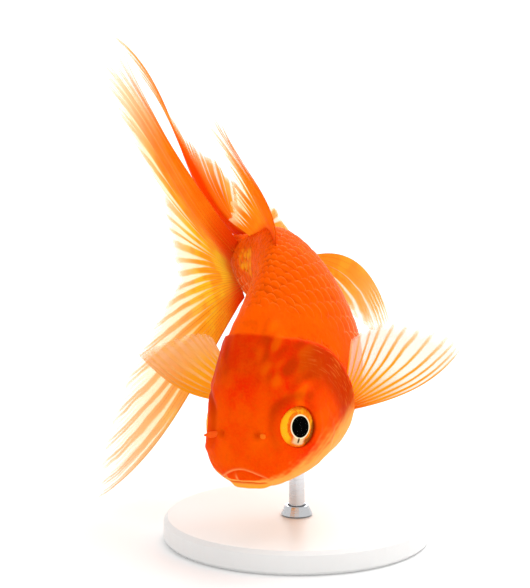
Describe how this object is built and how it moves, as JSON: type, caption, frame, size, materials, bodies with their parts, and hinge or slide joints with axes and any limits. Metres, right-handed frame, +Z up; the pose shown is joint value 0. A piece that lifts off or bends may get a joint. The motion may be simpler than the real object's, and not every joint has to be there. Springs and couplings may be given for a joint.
{
  "type": "fantail goldfish model",
  "caption": "Life-size still model of a fantail goldfish, nose down and turning to its right, with a double tail, on a round display stand.",
  "frame": {"origin": "centre of the stand's flat underside", "axes": "+Z up; the fish's head points along -Y and 30 degrees below level; +X is the fish's left side at the head"},
  "size_m": [0.0805, 0.0901, 0.1016],
  "materials": {
    "head_skin": "moist orange-red skin, satin gloss",
    "body_scales": "overlapping orange scales, satin gloss",
    "fin": "thin orange membrane with rays, clearer towards the tips",
    "eye": "gold iris and black pupil under a clear wet surface",
    "stand_white": "satin white",
    "stand_steel": "polished steel rod"
  },
  "bodies": {
    "root": {"head": "head_skin", "gill_cover_left": "head_skin", "gill_cover_right": "head_skin", "trunk": "body_scales", "tail_stalk": "body_scales", "eye_left": "eye", "eye_right": "eye", "dorsal_fin": "fin", "pectoral_fin_left": "fin", "pectoral_fin_right": "fin", "pelvic_fin_left": "fin", "pelvic_fin_right": "fin", "anal_fin_left": "fin", "anal_fin_right": "fin", "tail_fin_left": "fin", "tail_fin_right": "fin", "stand_base": "stand_white", "stand_collar": "stand_steel", "stand_rod": "stand_steel"}
  },
  "joints": []
}
